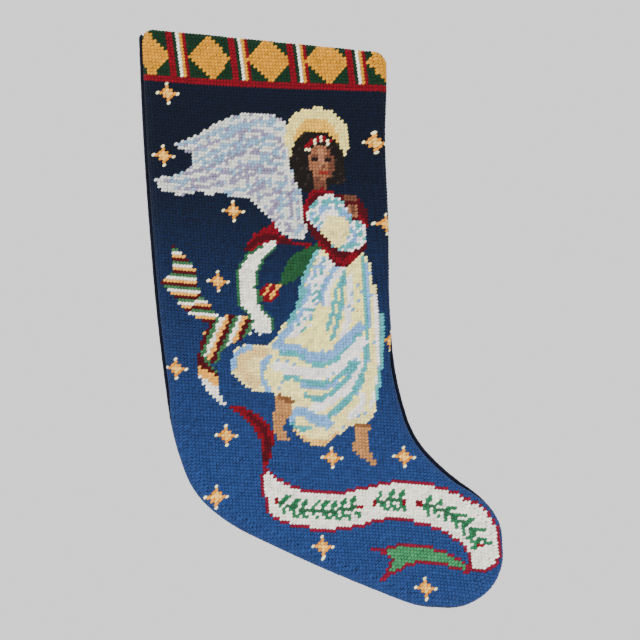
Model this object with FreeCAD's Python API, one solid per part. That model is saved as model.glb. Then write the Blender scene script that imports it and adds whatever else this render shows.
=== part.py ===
import FreeCAD, Part
import math
import os
from FreeCAD import Vector

# A lined needlepoint stocking that hangs from a sewn loop. All lengths in mm.
# Frame: +Z up, +X towards the toe, -Y is the worked front. The origin is the point
# that the stocking hangs from: the stitched root of the loop, inside the mouth at
# the heel-side corner. The plane Y = 0 is the plane of the side seam.

# ---- outline of the seam, piping included, seen from the front -------------------
TOP_SPARE = 30.0              # how far the sides run on above the mouth before trimming
HEEL_SIDE = [(-16.0, TOP_SPARE), (-11.0, -97.0), (-0.5, -227.0), (11.5, -318.0), (28.0, -364.0)]
SOLE = [(57.5, -389.0), (131.0, -423.5), (188.0, -446.5)]
TOE = [(207.0, -453.5), (248.0, -455.5), (274.5, -428.0), (272.5, -386.0), (258.0, -367.0)]
INSTEP = [(230.0, -347.5), (203.0, -320.0), (188.5, -272.0)]
SHIN_SIDE = [(183.5, -215.0), (183.5, -150.0), (180.0, -82.0), (182.5, -32.0), (177.5, TOP_SPARE)]
OUTLINE = HEEL_SIDE + SOLE + TOE + INSTEP + SHIN_SIDE

MOUTH_LEFT_Z = 3.9            # height of the mouth's edge over the origin
MOUTH_DROP = 0.1              # the edge falls this much for each mm towards the toe
CORNER_HEEL = 11.0            # radius of the mouth's soft corners
CORNER_TOE = 3.0
TURN_IN = 8.0                 # the panels' tops are folded in this far over the linings

# ---- layers, from the outside in -------------------------------------------------
FRONT_DEPTH = 13.0            # seam plane to the face of the wool
FRONT_ROUND = 9.0             # radius of the worked front's edge
WOOL = 2.2
CANVAS = 0.8
BACK_DEPTH = 9.0              # seam plane to the flat velvet back
EDGE_LENGTH = 36.0            # length of each piece of the velvet's turned edge
BACK_ROUND = 6.0
VELVET = 2.0
INTERLINING = 1.0
LINING = 0.5
FRONT_STACK = WOOL + CANVAS + INTERLINING + LINING
BACK_STACK = VELVET + INTERLINING + LINING
BAND_FOOT_Z = -39.1           # lowest row of the red line under the patterned band, at X = 0
ROW_DROP = 0.064              # the stitch rows fall this much for each mm towards the toe

# ---- piping and seam --------------------------------------------------------------
PIPING_R = 2.1
CORE_R = 1.5
LIP = 3.5                     # width of the piping's sewn edge between the panels
LIP_THICK = 1.0
THREAD_R = 0.3
PANEL_INSET = 2 * PIPING_R    # the panels' edges start inside the piping
SEAM_INSET = PANEL_INSET + 1.8

# ---- hanging loop -----------------------------------------------------------------
STRAP_WIDTH = 9.0
STRAP_THICK = 1.2
STRAP_Y = -1.5                # middle of the strap, midway between the two linings
LOOP_LENGTH = 42.0            # root to the middle of the round end
LOOP_SWAY = 4.5               # the round end lies this far towards the toe at rest
ROOT_R = 1.35
EYE_R = 4.5
EYE_START = 8.0               # the two sides of the strap are sewn together this far
TAIL_THICK = 2.3
TAIL_LENGTH = 13.0
TAIL_GAP = 0.35               # clearance between the fixed tails and the turning root

# ---- hand stitches ------------------------------------------------------------------
STITCH_LONG = 3.2
STITCH_WIDE = 0.6
STITCH_HIGH = 0.5
STITCH_TILT = 35.0
HEM_PITCH = 6.0
HEM_FROM = 18.0
HEM_TO = 162.0

FAR = 600.0                   # larger than the object


def point(x, z, y=0.0):
    return Vector(x, y, z)


def left_of(run):
    """The unit vector to the left of a run, which is the inner side of the outline."""
    return Vector(-run.z, 0, run.x).normalize()


def seam_edges(inset):
    """The outline's straight runs joined by tangent arcs, all moved in by inset.

    Each arc is as large as its two runs allow.
    """
    spots = [point(x, z) for x, z in OUTLINE]
    edges = []
    at = spots[0] + left_of(spots[1] - spots[0]) * inset
    for before, corner, after in zip(spots, spots[1:], spots[2:]):
        back = before - corner
        ahead = after - corner
        reach = 0.5 * min(back.Length, ahead.Length)
        half_turn = 0.5 * (math.pi - back.getAngle(ahead))
        radius = reach / math.tan(half_turn)
        bulge = radius / math.cos(half_turn) - radius
        left_in = left_of(-back)
        left_out = left_of(ahead)
        start = corner + back.normalize() * reach + left_in * inset
        stop = corner + ahead.normalize() * reach + left_out * inset
        inward = (left_in + left_out).normalize() * inset
        middle = corner + (back + ahead).normalize() * bulge + inward
        if (start - at).Length > 1e-4:
            edges.append(Part.LineSegment(at, start).toShape())
        edges.append(Part.Arc(start, middle, stop).toShape())
        at = stop
    end = spots[-1] + left_of(spots[-1] - spots[-2]) * inset
    edges.append(Part.LineSegment(at, end).toShape())
    return edges


def outline_face(inset):
    edges = seam_edges(inset)
    lid = Part.LineSegment(edges[-1].Vertexes[-1].Point, edges[0].Vertexes[0].Point)
    return Part.Face(Part.Wire(edges + [lid.toShape()]))


def prism(inset, start_y, end_y):
    face = outline_face(inset)
    face.translate(Vector(0, start_y, 0))
    return face.extrude(Vector(0, end_y - start_y, 0))


def puffed(inset, start_y, end_y, radius):
    """A prism from start_y to end_y with the edge of its far face rounded."""
    body = prism(inset, start_y, end_y)
    rim = [e for e in body.Edges if all(abs(v.Point.y - end_y) < 1e-6 for v in e.Vertexes)]
    return body.makeFillet(radius, rim)


def mouth_z(x):
    return MOUTH_LEFT_Z - MOUTH_DROP * x


def below_mouth(drop=0.0):
    """Everything lower than the mouth's edge, its two corners softly rounded."""
    left = OUTLINE[0][0] - 2.6
    right = OUTLINE[-1][0] - 0.4
    a = point(left, mouth_z(left) - drop)
    b = point(right, mouth_z(right) - drop)
    low_a = point(left, -FAR)
    low_b = point(right, -FAR)
    upper = Part.Face(Part.makePolygon([low_a, a, b, low_b, low_a])).extrude(Vector(0, 1, 0))
    corners = []
    for edge in upper.Edges:
        ends = [v.Point for v in edge.Vertexes]
        if all(abs(p.x - left) < 0.01 and p.z > -100 for p in ends):
            corners.append((edge, CORNER_HEEL))
        if all(abs(p.x - right) < 0.01 and p.z > -100 for p in ends):
            corners.append((edge, CORNER_TOE))
    for edge, radius in corners:
        match = [e for e in upper.Edges if e.CenterOfMass.distanceToPoint(edge.CenterOfMass) < 0.01]
        upper = upper.makeFillet(radius, match)
    face = [f for f in upper.Faces if all(abs(v.Point.y) < 1e-6 for v in f.Vertexes)][0]
    trim = face.extrude(Vector(0, 2 * FAR, 0))
    trim.translate(Vector(0, -FAR, 0))
    wide = Part.makeBox(2 * FAR, 2 * FAR, FAR, Vector(-FAR, -FAR, -FAR - 60.0))
    return trim.fuse(wide)


def layer(side, depth, radius, start, thickness):
    """One cloth layer: start is how far its outer face lies inside the panel's face."""
    seam = side * LIP_THICK / 2
    outer = puffed(PANEL_INSET + start, seam, side * (depth - start), radius - start)
    end = start + thickness
    inner = puffed(PANEL_INSET + end, -side, side * (depth - end), radius - end)
    return outer.cut(inner)


def front(start, thickness):
    return layer(-1, FRONT_DEPTH, FRONT_ROUND, start, thickness)


def back(start, thickness):
    return layer(1, BACK_DEPTH, BACK_ROUND, start, thickness)


def tube(inset, radius):
    path = Part.Wire(seam_edges(inset))
    start = path.Edges[0].valueAt(path.Edges[0].FirstParameter)
    along = path.Edges[0].tangentAt(path.Edges[0].FirstParameter)
    ring = Part.Wire(Part.makeCircle(radius, start, along))
    return path.makePipeShell([ring], True, False)


def bar(x, y, z, tilt):
    """A short straight hand stitch lying in a plane that faces along Y."""
    shape = Part.makeBox(STITCH_LONG, STITCH_HIGH, STITCH_WIDE)
    shape.translate(Vector(-STITCH_LONG / 2, -STITCH_HIGH / 2, -STITCH_WIDE / 2))
    shape.rotate(Vector(0, 0, 0), Vector(0, 1, 0), tilt)
    shape.translate(Vector(x, y, z))
    return shape


def teardrop(root, root_r, eye, eye_r):
    """A flat teardrop: a small and a large circle joined by their two tangents."""
    along = eye - root
    lean = math.asin((eye_r - root_r) / along.Length)
    unit = Vector(along).normalize()
    side = unit.cross(Vector(0, 1, 0))
    tips = []
    for sign in (1, -1):
        out = side * (sign * math.cos(lean)) - unit * math.sin(lean)
        tips.append((root + out * root_r, eye + out * eye_r))
    edges = [
        Part.LineSegment(tips[0][0], tips[0][1]).toShape(),
        Part.Arc(tips[0][1], eye + unit * eye_r, tips[1][1]).toShape(),
        Part.LineSegment(tips[1][1], tips[1][0]).toShape(),
        Part.Arc(tips[1][0], root - unit * root_r, tips[0][0]).toShape(),
    ]
    return Part.Face(Part.Wire(edges))


def front_panel(trim, lowered):
    """Wool, canvas, interlining and lining of the worked front."""
    wool = front(0.0, WOOL).common(trim)
    band_box = Part.makeBox(2 * FAR, 2 * FAR, FAR, Vector(-FAR, -FAR, 0))
    band_box.rotate(Vector(0, 0, 0), Vector(0, 1, 0), math.degrees(math.atan(ROW_DROP)))
    band_box.translate(Vector(0, 0, BAND_FOOT_Z))
    canvas = front(WOOL, CANVAS)
    fold = front(WOOL + CANVAS, INTERLINING + LINING).cut(lowered)
    return {
        "wool_border": wool.common(band_box),
        "wool_picture": wool.cut(band_box),
        "canvas_panel": canvas.fuse(fold).common(trim).removeSplitter(),
        "front_interlining": front(WOOL + CANVAS, INTERLINING).common(lowered),
        "front_lining": front(WOOL + CANVAS + INTERLINING, LINING).common(lowered),
    }


def in_lengths(velvet):
    """The flat of the velvet, and its turned edge in short lengths round the hollow."""
    everything = velvet.BoundBox
    flat_y = BACK_DEPTH - VELVET
    reach = EDGE_LENGTH * math.ceil(max(everything.XLength, everything.ZLength) / EDGE_LENGTH)
    corner = Vector(everything.XMin - 1, flat_y, everything.ZMin - 1)
    flat_space = Part.makeBox(reach + EDGE_LENGTH, VELVET + 1, reach + EDGE_LENGTH, corner)
    edge = velvet.cut(flat_space)
    lengths = velvet.common(flat_space).Solids
    columns = math.ceil((everything.XLength + 2) / EDGE_LENGTH)
    rows = math.ceil((everything.ZLength + 2) / EDGE_LENGTH)
    for column in range(columns):
        for row in range(rows):
            start = Vector(everything.XMin - 1 + column * EDGE_LENGTH, -1,
                               everything.ZMin - 1 + row * EDGE_LENGTH)
            cell = Part.makeBox(EDGE_LENGTH, BACK_DEPTH, EDGE_LENGTH, start)
            lengths += [piece for piece in edge.common(cell).Solids if piece.Volume > 0.5]
    return Part.makeCompound(lengths)


def back_panel(trim, lowered):
    """Velvet, interlining and lining of the back."""
    velvet = back(0.0, VELVET)
    fold = back(VELVET, INTERLINING + LINING).cut(lowered)
    return {
        "velvet_back": in_lengths(velvet.fuse(fold).common(trim).removeSplitter()),
        "back_interlining": back(VELVET, INTERLINING).common(lowered),
        "back_lining": back(VELVET + INTERLINING, LINING).common(lowered),
    }


def piping(trim):
    """The covered cord in the side seam, its core and the seam's thread."""
    core = tube(PIPING_R, CORE_R)
    thread = tube(SEAM_INSET, THREAD_R)
    half = LIP_THICK / 2
    lip_outer = prism(PANEL_INSET - 0.4, -half, half)
    lip = lip_outer.cut(prism(PANEL_INSET + LIP, -LIP_THICK, LIP_THICK))
    cover = tube(PIPING_R, PIPING_R).fuse(lip).cut(core).cut(thread)
    return {
        "piping_cover": cover.common(trim),
        "piping_core": core.common(trim),
        "seam_thread": thread.common(trim),
    }


def hem_stitches():
    """Slip stitches that hold the linings' top edges to the turned-in panels."""
    count = int((HEM_TO - HEM_FROM) / HEM_PITCH) + 1
    front_y = -(FRONT_DEPTH - FRONT_STACK) + STITCH_HIGH / 2
    back_y = BACK_DEPTH - BACK_STACK - STITCH_HIGH / 2
    bars = []
    for i in range(count):
        x = HEM_FROM + i * HEM_PITCH
        z = mouth_z(x) - TURN_IN
        bars.append(bar(x, front_y, z, STITCH_TILT))
        bars.append(bar(x + HEM_PITCH / 2, back_y, z, STITCH_TILT))
    return Part.makeCompound(bars)


def loop():
    """The strap's swinging loop, its sewn-down tails and their bar tacks."""
    root = point(0, 0)
    eye = point(LOOP_SWAY, -LOOP_LENGTH)
    unit = Vector(eye).normalize()
    outer = teardrop(root, ROOT_R, eye, EYE_R + STRAP_THICK)
    inner = teardrop(unit * EYE_START, 0.15, eye, EYE_R)
    strap = outer.cut(inner).extrude(Vector(0, STRAP_WIDTH, 0))
    strap.translate(Vector(0, STRAP_Y - STRAP_WIDTH / 2, 0))
    right = -ROOT_R - TAIL_GAP
    corner = Vector(right - TAIL_THICK, STRAP_Y - STRAP_WIDTH / 2, -TAIL_LENGTH)
    tails = Part.makeBox(TAIL_THICK, STRAP_WIDTH, TAIL_LENGTH - 0.5, corner)
    rim = [e for e in tails.Edges if all(abs(v.Point.z + 0.5) < 1e-6 for v in e.Vertexes)
           and e.Length > 5]
    tails = tails.makeFillet(0.9, rim)
    tacks = []
    for side in (-1, 1):
        corner = Vector(right - TAIL_THICK, STRAP_Y + side * STRAP_WIDTH / 2, 0)
        for step in range(4):
            z = -TAIL_LENGTH + 2.0 + 2.6 * step
            knot = Part.makeBox(TAIL_THICK, STITCH_HIGH, STITCH_WIDE)
            knot.translate(corner + Vector(0, min(side, 0) * STITCH_HIGH, z))
            tacks.append(knot)
    return {
        "hanging_loop": strap,
        "loop_tails": tails,
        "loop_tacks": Part.makeCompound(tacks),
    }


def main():
    os.makedirs("parts", exist_ok=True)
    trim = below_mouth()
    lowered = below_mouth(TURN_IN)
    nodes = {}
    nodes.update(front_panel(trim, lowered))
    nodes.update(back_panel(trim, lowered))
    nodes.update(piping(trim))
    nodes["hem_stitches"] = hem_stitches()
    nodes.update(loop())
    for name, shape in nodes.items():
        shape.exportStep("parts/" + name + ".step")
        box = shape.BoundBox
        print(name, "solids", len(shape.Solids), "valid", shape.isValid(),
              "mm3", round(shape.Volume), "box", [round(v, 1) for v in
              (box.XMin, box.YMin, box.ZMin, box.XMax, box.YMax, box.ZMax)])


main()
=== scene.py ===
import math

import bmesh
import bpy
import numpy as np
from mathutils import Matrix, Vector


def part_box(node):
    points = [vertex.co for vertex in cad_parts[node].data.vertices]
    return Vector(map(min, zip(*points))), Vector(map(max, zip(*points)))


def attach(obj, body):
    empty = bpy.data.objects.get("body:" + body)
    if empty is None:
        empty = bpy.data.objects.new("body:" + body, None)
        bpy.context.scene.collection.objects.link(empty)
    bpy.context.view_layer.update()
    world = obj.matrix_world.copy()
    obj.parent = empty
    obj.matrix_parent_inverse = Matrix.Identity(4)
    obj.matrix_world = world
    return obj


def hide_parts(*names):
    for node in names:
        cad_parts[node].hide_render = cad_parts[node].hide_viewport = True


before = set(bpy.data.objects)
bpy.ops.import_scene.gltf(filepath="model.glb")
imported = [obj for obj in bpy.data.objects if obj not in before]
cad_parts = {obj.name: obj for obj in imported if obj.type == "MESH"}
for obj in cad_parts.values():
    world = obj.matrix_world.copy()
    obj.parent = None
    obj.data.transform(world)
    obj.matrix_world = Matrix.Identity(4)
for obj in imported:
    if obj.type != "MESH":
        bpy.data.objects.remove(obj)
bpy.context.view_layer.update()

# Lengths are in metres. -Y is the worked front, +X is towards the toe.
MM = 0.001

# ---- the stocking's outline, as in the CAD model ---------------------------------
TOP_SPARE = 30.0
HEEL_SIDE = [(-16.0, TOP_SPARE), (-11.0, -97.0), (-0.5, -227.0), (11.5, -318.0), (28.0, -364.0)]
SOLE = [(57.5, -389.0), (131.0, -423.5), (188.0, -446.5)]
TOE = [(207.0, -453.5), (248.0, -455.5), (274.5, -428.0), (272.5, -386.0), (258.0, -367.0)]
INSTEP = [(230.0, -347.5), (203.0, -320.0), (188.5, -272.0)]
SHIN_SIDE = [(183.5, -215.0), (183.5, -150.0), (180.0, -82.0), (182.5, -32.0), (177.5, TOP_SPARE)]
OUTLINE = np.array(HEEL_SIDE + SOLE + TOE + INSTEP + SHIN_SIDE) * MM
ARC_STEPS = 14
AT_ONCE = 4000

MOUTH_LEFT_Z = 3.9 * MM
MOUTH_DROP = 0.1
MOUTH_LEFT_IN = 3.2 * MM
MOUTH_RIGHT_OUT = 3.4 * MM
CORNER_HEEL = 11.0 * MM
CORNER_TOE = 8.0 * MM
TURN_IN = 8.0 * MM
PANEL_INSET = 4.2 * MM
SEAM_INSET = 6.0 * MM
PIPING_R = 2.1 * MM
PIPING_END = 5.0 * MM

# ---- colours, linear ----------------------------------------------------------------


def srgb(r, g, b):
    """A colour given as 0 to 255 display values, made linear."""
    out = []
    for value in (r, g, b):
        c = value / 255
        out.append(c / 12.92 if c <= 0.04045 else ((c + 0.055) / 1.055) ** 2.4)
    return tuple(out)


YARN = {
    "ground": srgb(30, 56, 106),
    "band_green": srgb(8, 42, 22),
    "gold": srgb(198, 136, 22),
    "red": srgb(112, 0, 20),
    "dark_red": srgb(70, 0, 12),
    "white": srgb(236, 234, 220),
    "wing_white": srgb(206, 206, 200),
    "wing_blue": srgb(128, 160, 184),
    "wing_grey": srgb(136, 128, 154),
    "halo": srgb(232, 216, 130),
    "halo_gold": srgb(222, 172, 60),
    "hair": srgb(20, 15, 13),
    "hair_light": srgb(40, 30, 25),
    "skin": srgb(140, 90, 62),
    "skin_light": srgb(158, 106, 76),
    "skin_dark": srgb(98, 58, 42),
    "lips": srgb(132, 34, 30),
    "foot": srgb(170, 120, 72),
    "foot_dark": srgb(118, 76, 44),
    "robe_cream": srgb(238, 222, 150),
    "robe_sand": srgb(220, 190, 124),
    "robe_yellow": srgb(242, 232, 150),
    "robe_white": srgb(236, 232, 228),
    "robe_blue": srgb(116, 160, 206),
    "robe_aqua": srgb(74, 158, 162),
    "hem_gold": srgb(222, 176, 92),
    "leaf": srgb(26, 74, 42),
    "leaf_edge": srgb(36, 86, 56),
    "sprig": srgb(34, 104, 66),
    "tail_green": srgb(52, 124, 78),
    "ribbon_green": srgb(52, 96, 60),
    "ribbon_gold": srgb(226, 160, 60),
    "outline_red": srgb(116, 8, 38),
    "star": srgb(212, 136, 34),
    "star_light": srgb(238, 186, 88),
    "star_tip": srgb(246, 236, 182),
}
NAMES = list(YARN)
PALETTE = np.array([YARN[n] for n in NAMES])

# ---- the stitched chart: u to the right, v downwards, in stitches ------------------
U_LOW, U_HIGH = -54, 66
V_LOW, V_HIGH = -100, 100
COLUMNS = U_HIGH - U_LOW
ROWS = V_HIGH - V_LOW
CU, CV = np.meshgrid(np.arange(U_LOW, U_HIGH) + 0.5, np.arange(V_LOW, V_HIGH) + 0.5)


def inside(points):
    """The stitches whose middles lie inside a closed outline."""
    found = np.zeros(CU.shape, bool)
    x0, y0 = points[-1]
    for x1, y1 in points:
        crosses = (y1 > CV) != (y0 > CV)
        if y1 != y0:
            found ^= crosses & (CU < (x0 - x1) * (CV - y1) / (y0 - y1) + x1)
        x0, y0 = x1, y1
    return found


def smooth(points, closed=False, steps=6):
    """A Catmull-Rom curve through a few given points."""
    p = np.array(points, float)
    if closed:
        p = np.vstack([p[-1], p, p[0], p[1]])
    else:
        p = np.vstack([2 * p[0] - p[1], p, 2 * p[-1] - p[-2]])
    out = []
    for a, b, c, d in zip(p, p[1:], p[2:], p[3:]):
        for t in np.arange(steps) / steps:
            out.append(0.5 * (2 * b + (c - a) * t + (2 * a - 5 * b + 4 * c - d) * t * t
                              + (3 * b - a - 3 * c + d) * t ** 3))
    if not closed:
        out.append(p[-2])
    return np.array(out)


def near(points, reach):
    """The stitches whose middles lie within reach of a line."""
    best = np.full(CU.shape, 1e9)
    for a, b in zip(points[:-1], points[1:]):
        d = b - a
        t = ((CU - a[0]) * d[0] + (CV - a[1]) * d[1]) / max(float(d @ d), 1e-9)
        t = np.clip(t, 0, 1)
        best = np.minimum(best, np.hypot(CU - a[0] - t * d[0], CV - a[1] - t * d[1]))
    return best <= reach


def edge_of(mask):
    """The stitches just inside a filled shape's edge."""
    core = mask.copy()
    for axis, step in ((0, 1), (0, -1), (1, 1), (1, -1)):
        core &= np.roll(mask, step, axis)
    return mask & ~core


class Chart:
    """The colour of every stitch."""

    def __init__(self):
        self.grid = np.full(CU.shape, NAMES.index("ground"))

    def put(self, mask, name):
        self.grid[mask] = NAMES.index(name)

    def line(self, points, reach, name, within=None):
        mask = near(smooth(points), reach)
        self.put(mask if within is None else mask & within, name)

    def blob(self, points, name, steps=6):
        """Fills a round-edged outline and gives the stitches it covers."""
        mask = inside(smooth(points, True, steps))
        self.put(mask, name)
        return mask

    def patch(self, points, name):
        """Fills a straight-edged outline and gives the stitches it covers."""
        mask = inside(points)
        self.put(mask, name)
        return mask


BAND_FOOT = -75.0
RED_ROWS = 2
DIAMOND_PITCH = 18.2
DIAMOND_U = -39.5
DIAMOND_V = -81.5
DIAMOND_HALF = 6.6
STRIPES = (("red", 0, 2), ("white", 3, 4), ("gold", 4, 5), ("red", 5, 6))


def paint_band(chart):
    chart.put(CV < BAND_FOOT, "band_green")
    for k in range(-1, 6):
        middle = DIAMOND_U + DIAMOND_PITCH * k
        diamond = np.abs(CU - middle) + 0.93 * np.abs(CV - DIAMOND_V) < DIAMOND_HALF
        chart.put(diamond & (CV < BAND_FOOT), "gold")
        left = round(middle + 6)
        for name, start, stop in STRIPES:
            stripe = (CU > left + start) & (CU < left + stop) & (CV < BAND_FOOT)
            chart.put(stripe, name)
    chart.put((CV > BAND_FOOT) & (CV < BAND_FOOT + RED_ROWS), "red")


STARS = [(-35.5, -69.5), (-38.5, -49.5), (-18.5, -33.5), (26.5, -57.5), (27.5, -32.5),
         (-24.5, -10.5), (27.5, 4.5), (-38.5, 18.5), (-24.5, 38.5), (7.5, 43.5),
         (29.5, 41.5), (-28.5, 57.5), (2.5, 71.5), (32.5, 82.5)]


def paint_stars(chart):
    for u, v in STARS:
        du = np.abs(CU - u)
        dv = np.abs(CV - v)
        arms = ((du < 0.6) & (dv < 3.6)) | ((dv < 0.6) & (du < 3.6))
        chart.put(arms | (du + dv < 2.3), "star")
        chart.put(du + dv < 1.2, "star_light")
        chart.put(arms & (du + dv > 2.6), "star_tip")


WING = [(0, -63), (-3, -64.5), (-7, -65.5), (-13, -65), (-20, -62), (-25, -59), (-29.5, -56),
        (-35, -53.5), (-32, -51.5), (-29.5, -50), (-30, -47), (-34.5, -44), (-42, -42),
        (-40, -38.5), (-34.5, -37), (-28, -39), (-25.5, -38), (-21, -39.5), (-19, -38),
        (-13.5, -38), (-11, -35), (-7.5, -32), (-5, -28.5), (-1, -25.5), (2.5, -26),
        (4, -28.5), (3.5, -34), (3, -40), (1, -47), (0, -56)]
WING_QUILLS = [
    [(-1, -60), (-9, -62), (-19, -59.5), (-29, -55), (-34, -53)],
    [(-2, -57), (-10, -59.5), (-19, -57), (-27, -53), (-31, -51)],
    [(-3, -54.5), (-11, -56.5), (-19, -54), (-26, -50), (-29, -48.5)],
    [(-3, -51.5), (-11, -53), (-18, -50.5), (-25, -47), (-33, -44)],
    [(-2, -49), (-9, -50), (-17, -47), (-25, -43.5), (-38, -41)],
    [(-2, -46), (-9, -46.5), (-16, -44), (-25, -41), (-37, -39)],
    [(-2, -43), (-8, -43.5), (-14, -41), (-20, -39.5)],
    [(-1.5, -40), (-6, -40), (-11, -38)],
    [(-1, -46), (-3, -40), (-4.5, -33)],
    [(0.5, -44), (-0.5, -37), (-1.5, -29)],
    [(2, -42), (1.5, -35), (1, -28)],
]
WING_SHADES = [
    [(-4, -63), (-12, -61), (-20, -57)],
    [(-5, -58), (-14, -54), (-20, -51)],
    [(-4, -53), (-8, -51), (-10, -47)],
    [(-14, -55.5), (-20, -50.5), (-26, -48)],
    [(-20, -46), (-24, -44), (-30, -42)],
    [(-6, -47.5), (-13, -48), (-18, -43)],
    [(-9, -42), (-13, -39.5)],
    [(-5, -37), (-7, -34)],
]


def paint_wing(chart):
    wing = inside(WING)
    chart.put(wing, "wing_white")
    for k, quill in enumerate(WING_QUILLS):
        chart.line(quill, 0.55, "wing_grey" if k % 2 else "wing_blue", wing)
    for k, shade in enumerate(WING_SHADES):
        chart.line(shade, 0.75, "wing_grey" if k > 3 else "wing_blue", wing)
    speck = np.random.default_rng(5).random(CU.shape)
    chart.put(wing & (speck < 0.09), "wing_grey")
    chart.put(wing & (speck > 0.93), "wing_blue")
    chart.put(wing & (speck > 0.80) & (speck < 0.87), "wing_white")


def paint_ribbons(chart):
    red = chart.blob([(-15.7, -21), (-13, -26), (-9, -29), (-5.5, -31), (-5, -28), (-1, -25.5),
                      (4.5, -25), (4.5, -23.4), (-2, -24), (-8, -23.5), (-12, -22)], "red")
    chart.line([(-15, -21.5), (-11, -25), (-7, -26), (-2, -24.5)], 0.9, "dark_red", red)
    scarf = chart.blob([(-8, -24.5), (-14, -21), (-18, -16), (-19.3, -9.5), (-18.5, -3.5),
                        (-16, -0.5), (-13.5, 5.2), (-9.2, 4.5), (-8, 1), (-11, -3), (-12.5, -9),
                        (-11.5, -15), (-8.5, -20), (-5.5, -23.5)], "white")
    chart.put(edge_of(scarf) & (CV > -23.5) & (CV < 4.5), "leaf_edge")
    chart.blob([(8, -25), (1, -22), (-3, -18), (-5.5, -11.5), (-1, -12.5), (3, -16), (7, -21)],
               "leaf")
    scrap = chart.patch([(-12.5, -8), (-9, -11), (-5, -11), (-6, -8), (-8.5, -5), (-11, -5.5)],
                        "red")
    for start in (-11.5, -9.0):
        chart.line([(start, -6), (start + 3, -10.5)], 0.5, "ribbon_gold", scrap)
    chart.line([(-12, -6.5), (-11, -5)], 0.6, "leaf_edge")


LADDER = ("white", "ribbon_gold", "dark_red", "ribbon_green")


def paint_striped_ribbon(chart):
    upper = inside([(-38, -21), (-35, -19), (-32, -16), (-31, -13), (-30.5, -8), (-29.5, -5),
                    (-27, -2), (-25, 0.5), (-22.5, 1), (-26, 4.5), (-31.5, 2), (-35.5, -1),
                    (-39, -5.5), (-40.5, -7.5), (-42, -8.5), (-39.5, -10.5), (-38, -13),
                    (-38.5, -17)])
    step = np.floor((CV + 19.1) / 0.98 + 0.04 * (CU + 34)).astype(int) % 4
    for k, name in enumerate(LADDER):
        chart.put(upper & (step == k), name)
    middle = inside([(-26, 1), (-19, 0), (-16, 0), (-13.5, 2.5), (-15, 5.5), (-21, 9), (-24.5, 12),
                     (-26, 16), (-31.5, 16), (-31, 11), (-29.5, 6.5)])
    along = (CU + 31) * 0.80 - (16 - CV) * 0.35
    step = np.floor(along / 1.05).astype(int) % 4
    for k, name in enumerate(LADDER):
        chart.put(middle & (step == k), name)
    lower = inside([(-31.7, 13), (-29, 16), (-25.8, 18.5), (-25.8, 25), (-24.5, 28), (-23, 30.5),
                    (-25.5, 28.8), (-29, 25.5), (-31.5, 20.5)])
    depth = (CV - 16) - 0.62 * (CU + 31)
    chart.put(lower, "dark_red")
    chart.put(lower & (depth > 1.2), "ribbon_gold")
    chart.put(lower & (depth > 4.4), "white")
    chart.line([(-31, 12), (-29, 15.5), (-26.5, 18.5)], 0.55, "ribbon_green")
    tail = chart.blob([(-23, 29.6), (-17, 29.8), (-12.5, 33), (-10.2, 37), (-10.5, 41.5),
                       (-13, 48.2), (-14.5, 48), (-13.8, 42), (-15, 37.5), (-18, 33)], "red")
    chart.line([(-17, 31.5), (-13.5, 35), (-12, 40), (-13, 45)], 0.9, "dark_red", tail)


BANNER = [(-14.2, 47.5), (-14.6, 55), (-13.6, 61.5), (-10, 64.3), (-4.5, 66), (2, 66.7),
          (8, 66.4), (14, 65), (20, 63), (25, 61.9), (32, 62.6), (38, 64), (42.5, 66.5), (45.5, 70),
          (46, 76), (51, 75.5), (54.5, 71), (55.4, 66), (54.4, 60.5), (51.5, 55.8), (47, 52.8),
          (41, 50), (35, 49.2), (29, 49), (22, 50.2), (15, 52.3), (9, 53.8), (2, 54.2),
          (-5, 53), (-10, 50.4), (-12.6, 48)]
SPRIGS = [
    [(-10.5, 58), (-6, 59.5), (-1, 60.3), (5, 60.3), (10, 59.6), (15, 58.3)],
    [(19.5, 57), (23, 56), (28.5, 55.6)],
    [(33, 55.9), (38, 57), (43, 59.3), (47.5, 62.5), (50.3, 67.5)],
]
LEAF_PITCH = 3.1


def paint_banner(chart):
    banner = inside(smooth(BANNER, True, 4))
    chart.put(banner, "white")
    chart.put(edge_of(banner), "outline_red")
    open_part = banner & ~edge_of(banner)
    for points in SPRIGS:
        stem = smooth(points, steps=12)
        chart.put(near(stem, 0.5) & open_part, "leaf_edge")
        length = np.concatenate([[0], np.cumsum(np.hypot(*(stem[1:] - stem[:-1]).T))])
        for at in np.arange(1.0, length[-1] - 1, LEAF_PITCH):
            k = int(np.searchsorted(length, at))
            run = stem[min(k + 1, len(stem) - 1)] - stem[max(k - 1, 0)]
            run = run / np.hypot(*run)
            for turn in (-1, 1):
                side = np.array([-run[1], run[0]]) * turn
                base = stem[k] + side * 1.1 + run * 0.6
                leaf = np.array([base, base + (side + run) * 1.5])
                chart.put(near(leaf, 0.62) & open_part, "sprig")
        for end in (stem[0], stem[-1]):
            chart.put((np.hypot(CU - end[0], CV - end[1]) < 0.9) & open_part, "red")
    tail = chart.blob([(17, 71.3), (21.5, 70.8), (25, 69.4), (31, 68.6), (37, 69.8), (42, 71.5),
                       (46, 74.8), (45.3, 76.8), (40, 75.4), (33, 74.6), (28, 76.2), (23, 79),
                       (19, 81.3), (21.3, 77.5), (22.6, 74.5), (20.5, 72.5)], "tail_green", 4)
    chart.put(edge_of(tail), "outline_red")


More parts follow.
